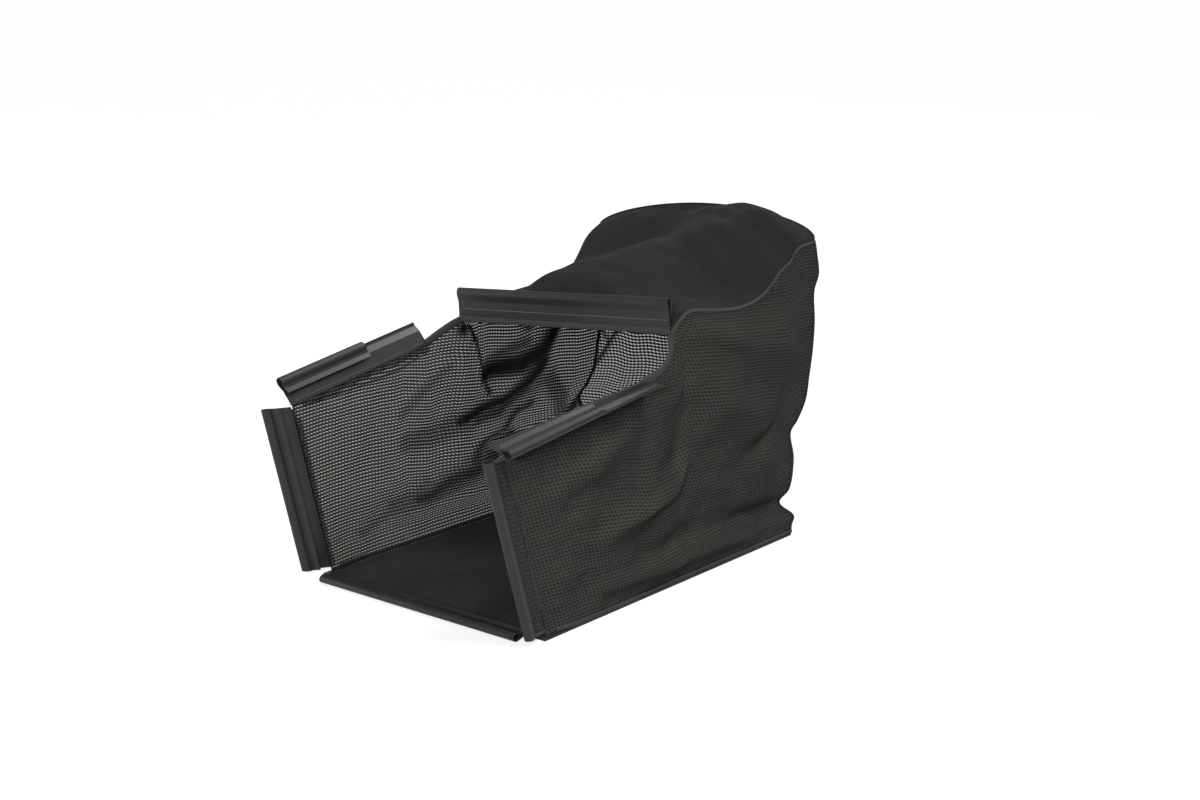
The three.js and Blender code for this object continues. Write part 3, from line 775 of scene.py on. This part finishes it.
up_hole = math_node(knit, "DIVIDE", in_row, group_in.outputs["Flatness"])
square = math_node(knit, "MULTIPLY", across_hole, across_hole)
square = math_node(knit, "MULTIPLY_ADD", up_hole, up_hole, square)
radius = math_node(knit, "SQRT", square)
inside = math_node(knit, "SUBTRACT", group_in.outputs["Hole"], radius)
hole = math_node(knit, "MULTIPLY_ADD", inside, HOLE_SHARPNESS, 0.5, clamp=True)
knit.links.new(hole, group_out.inputs["Hole"])
yarn = math_node(knit, "SINE", math_node(knit, "MULTIPLY", radius, YARN_ARC))
height = math_node(knit, "MULTIPLY", math_node(knit, "SUBTRACT", 1.0, hole), yarn)
knit.links.new(height, group_out.inputs["Height"])

# %% [markdown]
# Outside, the panel is dark yarn whose holes are painted near-black: a painted shade for the dark inside
# of the bag that would show through them. From inside the mouth the same cloth looks lighter, because
# the bright surroundings show through its holes; its yarn there is painted darker and warmer than
# outside, a painted shade for the inside of the bag. One material holds both looks, and the Backfacing
# output chooses between them. Where the cloth lies double the holes close, and seen from inside it is
# painted near-black: painted shade in folds and hems. The roof's outside yarn is darkened too, a painted
# shade for the top of the bag. A stretched noise adds the wrinkles that are too small to model.

# %% Mesh cloth material
def base_material(name):
    material = bpy.data.materials.new(name)
    material.use_nodes = True
    tree = material.node_tree
    tree.nodes.clear()
    output = tree.nodes.new("ShaderNodeOutputMaterial")
    shader = tree.nodes.new("ShaderNodeBsdfPrincipled")
    tree.links.new(shader.outputs[0], output.inputs["Surface"])
    return material, tree, shader


def mixed(tree, factor, first, second):
    node = tree.nodes.new("ShaderNodeMix")
    node.data_type = "RGBA"
    for socket, value in ((node.inputs[0], factor), (node.inputs[6], first), (node.inputs[7], second)):
        if isinstance(value, bpy.types.NodeSocket):
            tree.links.new(value, socket)
        else:
            socket.default_value = value
    return node.outputs[2]


def noise(tree, vector, scale, detail=3.0):
    node = tree.nodes.new("ShaderNodeTexNoise")
    node.inputs["Scale"].default_value = scale
    node.inputs["Detail"].default_value = detail
    tree.links.new(vector, node.inputs["Vector"])
    return node.outputs["Fac"]


def bump(tree, shader, height, distance, strength=1.0):
    node = tree.nodes.new("ShaderNodeBump")
    node.inputs["Distance"].default_value = distance
    node.inputs["Strength"].default_value = strength
    tree.links.new(height, node.inputs["Height"])
    tree.links.new(node.outputs[0], shader.inputs["Normal"])


YARN_OUTSIDE = (0.038, 0.037, 0.0335, 1)
# Holes seen from outside are opaque and painted near-black: a painted shade for the dark inside of the
# bag.
HOLE_OUTSIDE_SHADE = (0.010, 0.010, 0.0095, 1)
# Yarn seen from inside is painted darker and warmer than outside: a painted shade for the inside of the
# bag.
YARN_INSIDE_SHADED = (0.025, 0.024, 0.020, 1)
HOLE_INSIDE = (0.010, 0.010, 0.010, 1)
# Near-black for cloth that lies double, seen from inside: painted shade in folds and hems.
PLEAT_SHADE_COLOUR = (0.006, 0.006, 0.006, 1)
INSIDE_OPEN = 0.33
YARN_HEIGHT = 0.6 * MM
WRINKLE_HEIGHT = 34
PITCH = (KNIT_COLUMN, KNIT_ROW)


def mesh_cloth(
    name, shift, opening, flatness=0.3, turn=0.0, inside_open=INSIDE_OPEN, painted_shade=1.0, pitch=PITCH
):
    """The knit as a material. The pitch is the size of one loop: along the row, then up the column."""
    material, tree, shader = base_material(name)
    place_on = tree.nodes.new("ShaderNodeUVMap")
    place_on.uv_map = "UVMap"
    turned = tree.nodes.new("ShaderNodeMapping")
    turned.inputs["Rotation"].default_value = (0, 0, math.radians(turn))
    tree.links.new(place_on.outputs[0], turned.inputs["Vector"])
    pattern = tree.nodes.new("ShaderNodeGroup")
    pattern.node_tree = knit
    pattern.inputs["Column"].default_value = pitch[0]
    pattern.inputs["Row"].default_value = pitch[1]
    pattern.inputs["Shift"].default_value = shift
    pattern.inputs["Hole"].default_value = opening
    pattern.inputs["Flatness"].default_value = flatness
    tree.links.new(turned.outputs[0], pattern.inputs["Vector"])
    double_and_shade = tree.nodes.new("ShaderNodeAttribute")
    double_and_shade.attribute_name = "double_and_shade"
    single = math_node(tree, "SUBTRACT", 1.0, double_and_shade.outputs["Fac"], clamp=True)
    facing = tree.nodes.new("ShaderNodeNewGeometry").outputs["Backfacing"]
    # The roof's outside yarn is darkened by this factor: a painted shade for the top of the bag.
    outside = tuple(channel * painted_shade for channel in YARN_OUTSIDE[:3]) + (1,)
    # Backfacing picks the inside copy, whose yarn carries painted shade; outside, the holes are painted
    # near-black shade.
    yarn_colour = mixed(tree, facing, outside, YARN_INSIDE_SHADED)
    hole_colour = mixed(tree, facing, HOLE_OUTSIDE_SHADE, HOLE_INSIDE)
    colour = mixed(tree, pattern.outputs["Hole"], yarn_colour, hole_colour)
    outside_seen = math_node(tree, "SUBTRACT", 1.0, facing)
    plain = math_node(tree, "MAXIMUM", single, outside_seen)
    # Seen from inside, doubled cloth takes the near-black colour: painted shade in folds and hems.
    tree.links.new(mixed(tree, plain, PLEAT_SHADE_COLOUR, colour), shader.inputs["Base Color"])
    open_share = math_node(tree, "MULTIPLY", facing, inside_open)
    open_share = math_node(tree, "MULTIPLY", open_share, single)
    through = math_node(tree, "MULTIPLY", pattern.outputs["Hole"], open_share)
    tree.links.new(math_node(tree, "SUBTRACT", 1.0, through), shader.inputs["Alpha"])
    shader.inputs["Roughness"].default_value = 0.85
    shader.inputs["Specular IOR Level"].default_value = 0.08
    wrinkle_place = tree.nodes.new("ShaderNodeMapping")
    wrinkle_place.inputs["Rotation"].default_value = (0, 0, math.radians(-35))
    wrinkle_place.inputs["Scale"].default_value = (1.0, 2.6, 1.0)
    tree.links.new(place_on.outputs[0], wrinkle_place.inputs["Vector"])
    wrinkles = noise(tree, wrinkle_place.outputs[0], 7.0)
    height = math_node(tree, "MULTIPLY_ADD", wrinkles, WRINKLE_HEIGHT, pattern.outputs["Height"])
    bump(tree, shader, height, YARN_HEIGHT)
    return material


materials = {
    "left_side": mesh_cloth("Left mesh", -0.22, 0.92, flatness=0.19, inside_open=0.28),
    "right_side": mesh_cloth("Right mesh", 0.1, 0.85),
    "rear": mesh_cloth("Rear mesh", 0.2, 0.95, flatness=0.23),
    "roof": mesh_cloth("Roof mesh", 0.15, 0.9, turn=38, painted_shade=0.45, pitch=(0.0048, 0.0044)),
}
for key, material in materials.items():
    panels[key].data.materials.append(material)

# %% [markdown]
# The tapes are a tight plain weave, nearly black. Along the posts and rails the mesh itself is
# turned in, so those hems have its knit.

# %% Tape material
tape_material, tree, shader = base_material("Woven tape")
place_on = tree.nodes.new("ShaderNodeUVMap")
place_on.uv_map = "UVMap"
weave = tree.nodes.new("ShaderNodeTexWave")
weave.wave_type = "BANDS"
weave.bands_direction = "DIAGONAL"
weave.inputs["Scale"].default_value = 260.0
weave.inputs["Distortion"].default_value = 1.5
tree.links.new(place_on.outputs[0], weave.inputs["Vector"])
tree.links.new(
    mixed(tree, weave.outputs["Fac"], (0.010, 0.010, 0.010, 1), (0.030, 0.030, 0.029, 1)),
    shader.inputs["Base Color"],
)
shader.inputs["Roughness"].default_value = 0.9
bump(tree, shader, weave.outputs["Fac"], 0.0003)
hem_material = mesh_cloth("Hem mesh", -0.22, 1.1, flatness=0.42)
cover_material = mesh_cloth("Cover mesh", 0.1, 0.85, inside_open=0.0)
for piece in tapes:
    piece.data.materials.clear()
    if piece.name.endswith("_cover"):
        piece.data.materials.append(cover_material)
    elif "post" in piece.name or "rail" in piece.name:
        piece.data.materials.append(hem_material)
    else:
        piece.data.materials.append(tape_material)

# %% [markdown]
# The clips are extruded from black plastic with a satin skin, a little uneven in colour and in
# shine.

# %% Clip plastic
clip_material, tree, shader = base_material("Clip plastic")
object_place = tree.nodes.new("ShaderNodeTexCoord").outputs["Object"]
speckle = noise(tree, object_place, 420.0, 2.0)
cloudy = noise(tree, object_place, 18.0, 4.0)
plastic_colour = mixed(tree, cloudy, (0.009, 0.009, 0.0094, 1), (0.015, 0.015, 0.0154, 1))
tree.links.new(plastic_colour, shader.inputs["Base Color"])
tree.links.new(math_node(tree, "MULTIPLY_ADD", speckle, 0.1, 0.27), shader.inputs["Roughness"])
shader.inputs["Specular IOR Level"].default_value = 0.42
bump(tree, shader, speckle, 0.0001, 0.1)
for node_name in nodes:
    if node_name.endswith("_clip"):
        nodes[node_name].data.materials.clear()
        nodes[node_name].data.materials.append(clip_material)

# %% [markdown]
# The floor is a sheet of coated vinyl, nearly black, with a soft sheen and faint scuffs.

# %% Floor vinyl
vinyl_material, tree, shader = base_material("Floor vinyl")
object_place = tree.nodes.new("ShaderNodeTexCoord").outputs["Object"]
grain = noise(tree, object_place, 900.0, 2.0)
scuffs = noise(tree, object_place, 9.0, 5.0)
vinyl_colour = mixed(tree, scuffs, (0.006, 0.006, 0.0063, 1), (0.012, 0.012, 0.0123, 1))
tree.links.new(vinyl_colour, shader.inputs["Base Color"])
tree.links.new(math_node(tree, "MULTIPLY_ADD", scuffs, 0.3, 0.35), shader.inputs["Roughness"])
bump(tree, shader, grain, 0.0001, 0.4)
floor_panel = nodes["floor_panel"]
floor_panel.data.materials.clear()
floor_panel.data.materials.append(vinyl_material)

# %% [markdown]
# Pale thread shows as short stitches: along the top clip's flange, beside the left rail's sewn edge,
# and where the left panel meets the floor. One stitch is a short box; a row repeats it. A loose end
# of thread in two or three loops hangs from the tape below the top clip's left end.

# %% Stitches
def stitch_row(name, points, length, thickness, normal):
    """Short boxes along a line of points, one at each point."""
    verts, faces = [], []
    tangents = np.gradient(points, axis=0)
    for point, tangent in zip(points, tangents):
        along = tangent / np.linalg.norm(tangent) * length / 2
        up = np.asarray(normal) / np.linalg.norm(normal)
        across = np.cross(up, along)
        across = across / np.linalg.norm(across) * thickness / 2
        first = len(verts)
        for lift in (-0.5, 0.5):
            for side_a, side_b in ((-1, -1), (1, -1), (1, 1), (-1, 1)):
                verts.append(tuple(point + along * side_a + across * side_b + up * thickness * lift))
        for quad in ((3, 2, 1, 0), (4, 5, 6, 7), (0, 1, 5, 4), (1, 2, 6, 5), (2, 3, 7, 6), (3, 0, 4, 7)):
            faces.append([first + k for k in quad])
    mesh = bpy.data.meshes.new(name)
    mesh.from_pydata(verts, [], faces)
    piece = bpy.data.objects.new(name, mesh)
    bpy.context.scene.collection.objects.link(piece)
    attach(piece, "root")
    return piece


thread_material, tree, shader = base_material("Thread")
shader.inputs["Base Color"].default_value = (0.16, 0.16, 0.155, 1)
shader.inputs["Roughness"].default_value = 0.7
top_line = on_top_clip(np.linspace(0.03, 0.985, 74), 28.0, 0.95)
rows = [stitch_row("top_stitches", top_line, 2.6 * MM, 0.5 * MM, top_front)]
along = np.linspace(0, 1, 16)
loops = on_top_clip(0.03 + 0.06 * along, 0, 0.6)
loops += top_down * (47.4 + 2.0 * np.sin(6 * math.pi * along))[:, None] * MM
rows.append(stitch_row("loose_thread", loops, 2.0 * MM, 0.9 * MM, top_front))
left_rail = rail_line("left", -3.5, -0.95)(np.linspace(0.04, 0.98, 60))
rows.append(stitch_row("left_rail_stitches", left_rail, 1.6 * MM, 0.45 * MM, (1, 0, 0.6)))
floor_line = side_surfaces["left"](np.linspace(0.09, 0.9, 75), np.full(75, 0.006))
floor_line += np.array([6.0, 0, 0.5]) * MM
rows.append(stitch_row("floor_stitches", floor_line, 1.2 * MM, 0.45 * MM, (0, 0, 1)))
for piece in rows:
    piece.data.materials.append(thread_material)
print("stitch rows:", [piece.name for piece in rows])

# %% [markdown]
# A product photograph on white: a pale floor and surround that look white to the camera but light
# the bag only weakly, a key lamp from above, and soft lamps to the left, in front and behind.

# %% Ground, lamps and surround
bpy.ops.object.select_all(action="DESELECT")
bpy.ops.mesh.primitive_plane_add(size=14, location=(0, 0, 0))
ground = bpy.context.object
ground.name = "ground"
ground_material, tree, shader = base_material("Pale ground")
shader.inputs["Base Color"].default_value = (0.3, 0.3, 0.3, 1)
shader.inputs["Emission Color"].default_value = (1, 1, 1, 1)
ground_rays = tree.nodes.new("ShaderNodeLightPath")
seen, mirrored = ground_rays.outputs["Is Camera Ray"], ground_rays.outputs["Is Glossy Ray"]
mirrored = math_node(tree, "MULTIPLY", mirrored, 0.35)
glow = math_node(tree, "MULTIPLY", math_node(tree, "MAXIMUM", seen, mirrored), 0.7)
tree.links.new(glow, shader.inputs["Emission Strength"])
shader.inputs["Roughness"].default_value = 0.9
ground.data.materials.append(ground_material)


def soft_lamp(name, location, target, size, power):
    lamp_data = bpy.data.lights.new(name, "AREA")
    lamp_data.energy = power
    lamp_data.size = size
    lamp = bpy.data.objects.new(name, lamp_data)
    bpy.context.scene.collection.objects.link(lamp)
    lamp.location = location
    lamp.rotation_euler = (Vector(target) - Vector(location)).to_track_quat("-Z", "Y").to_euler()


soft_lamp("left lamp", (-2.6, -1.3, 0.8), (0, 0, 0.2), 1.0, 20)
soft_lamp("front right lamp", (1.5, -2.6, 1.1), (0, 0, 0.2), 0.5, 112)
soft_lamp("back lamp", (-0.2, 2.7, 2.4), (0, 0, 0.25), 1.6, 60)
soft_lamp("far left lamp", (-2.8, 0.3, 1.1), (0, 0, 0.2), 1.2, 30)

key_data = bpy.data.lights.new("key lamp", "SUN")
key_data.energy = 2.6
key_data.angle = math.radians(20)
key = bpy.data.objects.new("key lamp", key_data)
bpy.context.scene.collection.objects.link(key)
key.rotation_euler = Vector((0.55, 0.15, 1.0)).to_track_quat("Z", "Y").to_euler()

world = bpy.data.worlds.new("white surround")
bpy.context.scene.world = world
world.use_nodes = True
tree = world.node_tree
tree.nodes.clear()
world_output = tree.nodes.new("ShaderNodeOutputWorld")
lighting = tree.nodes.new("ShaderNodeBackground")
lighting.inputs["Color"].default_value = (1, 1, 1, 1)
backdrop = tree.nodes.new("ShaderNodeBackground")
backdrop.inputs["Color"].default_value = (0.985, 0.985, 0.985, 1)
shine = tree.nodes.new("ShaderNodeMath")
shine.operation = "MULTIPLY_ADD"
shine.inputs[1].default_value = 0.1
shine.inputs[2].default_value = 0.2
rays = tree.nodes.new("ShaderNodeLightPath")
tree.links.new(rays.outputs["Is Glossy Ray"], shine.inputs[0])
tree.links.new(shine.outputs[0], lighting.inputs["Strength"])
choose = tree.nodes.new("ShaderNodeMixShader")
tree.links.new(rays.outputs["Is Camera Ray"], choose.inputs[0])
tree.links.new(lighting.outputs[0], choose.inputs[1])
tree.links.new(backdrop.outputs[0], choose.inputs[2])
tree.links.new(choose.outputs[0], world_output.inputs["Surface"])
bpy.context.scene.view_settings.view_transform = "Standard"

# %% [markdown]
# The camera stands to the right of the mouth and a little above it, as the photographer did.

# %% Camera
CAMERA_PLACE = (1.511, -1.7885, 0.782)
CAMERA_AZIMUTH = 39.1
CAMERA_ELEVATION = 13.7
camera_data = bpy.data.cameras.new("camera")
camera_data.lens = 55.14
camera_data.sensor_width = 36
camera = bpy.data.objects.new("camera", camera_data)
bpy.context.scene.collection.objects.link(camera)
camera.location = CAMERA_PLACE
camera.rotation_euler = (math.radians(90 - CAMERA_ELEVATION), 0, math.radians(CAMERA_AZIMUTH))
bpy.context.scene.camera = camera
